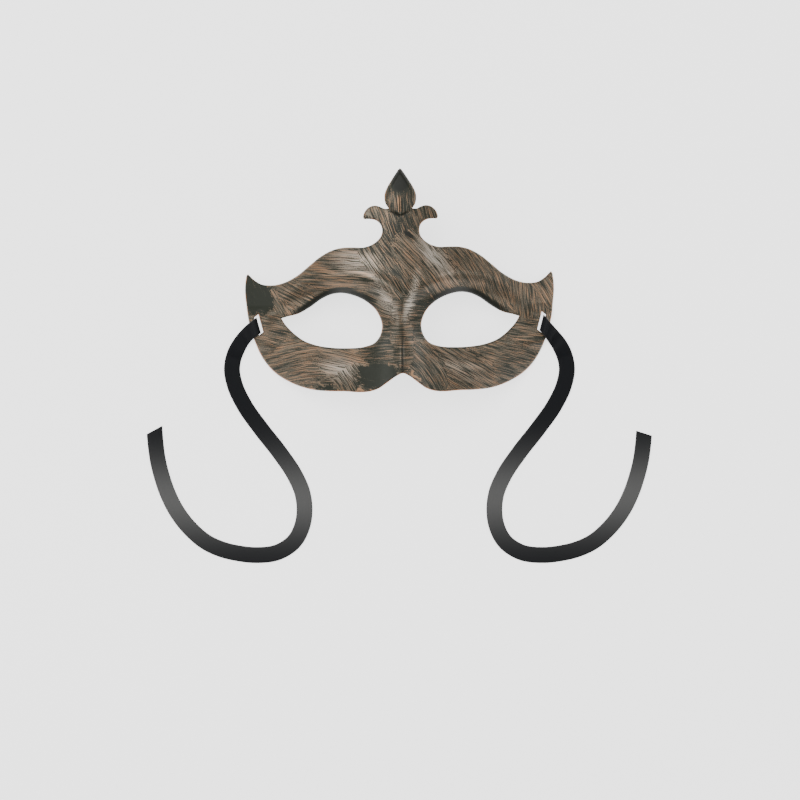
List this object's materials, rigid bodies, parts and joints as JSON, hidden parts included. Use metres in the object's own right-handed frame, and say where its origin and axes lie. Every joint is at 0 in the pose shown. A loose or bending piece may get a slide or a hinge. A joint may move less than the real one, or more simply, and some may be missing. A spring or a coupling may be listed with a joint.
{
  "type": "eye mask",
  "caption": "Moulded half mask with a fleur-de-lis crest, almond eye openings and flat black ribbon ties, lying face up with the ties spread out in loops.",
  "frame": {"origin": "middle of the mask's footprint, without its ties, on the surface it rests on", "axes": "+X across the mask to the right of the picture, +Y to the crest, +Z out of the front of the mask, away from the wearer"},
  "size_m": [0.2944, 0.2306, 0.0538],
  "materials": {
    "mask_shell": "black-green moulded plastic dry-brushed with copper and pale bronze",
    "ribbon": "smooth black satin"
  },
  "bodies": {
    "root": {"mask_shell": "mask_shell", "ribbon_left": "ribbon", "ribbon_right": "ribbon"}
  },
  "joints": []
}
